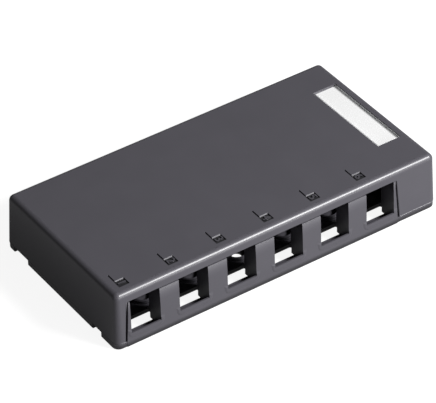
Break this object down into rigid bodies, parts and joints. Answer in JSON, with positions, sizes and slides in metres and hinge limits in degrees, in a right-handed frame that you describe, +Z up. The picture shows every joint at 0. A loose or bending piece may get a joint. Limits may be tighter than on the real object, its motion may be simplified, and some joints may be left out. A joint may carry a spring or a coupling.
{
  "type": "surface mount jack box",
  "caption": "Low rectangular surface mount box with a row of open keystone ports along its front, a lift-off cover and a label window.",
  "frame": {"origin": "on the underside of the base, below the middle of the box", "axes": "+X runs along the row of ports, from port 1 to port 6; the ports face -Y; +Z points up, away from the mounting surface"},
  "size_m": [0.1708, 0.088, 0.0288],
  "materials": {
    "base_plastic": "fine matte charcoal ABS",
    "cover_plastic": "fine matte charcoal ABS",
    "label_paper": "white paper card",
    "clear_plastic": "clear polished window"
  },
  "bodies": {
    "base_body": {"base": "base_plastic"},
    "cover_body": {"cover": "cover_plastic", "label_card": "label_paper", "label_window": "clear_plastic"}
  },
  "joints": [
    {"name": "cover_lift", "type": "slide", "parent": "base_body", "child": "cover_body", "axis": [0, 0, 1], "range_m": [0, 0.035]}
  ]
}
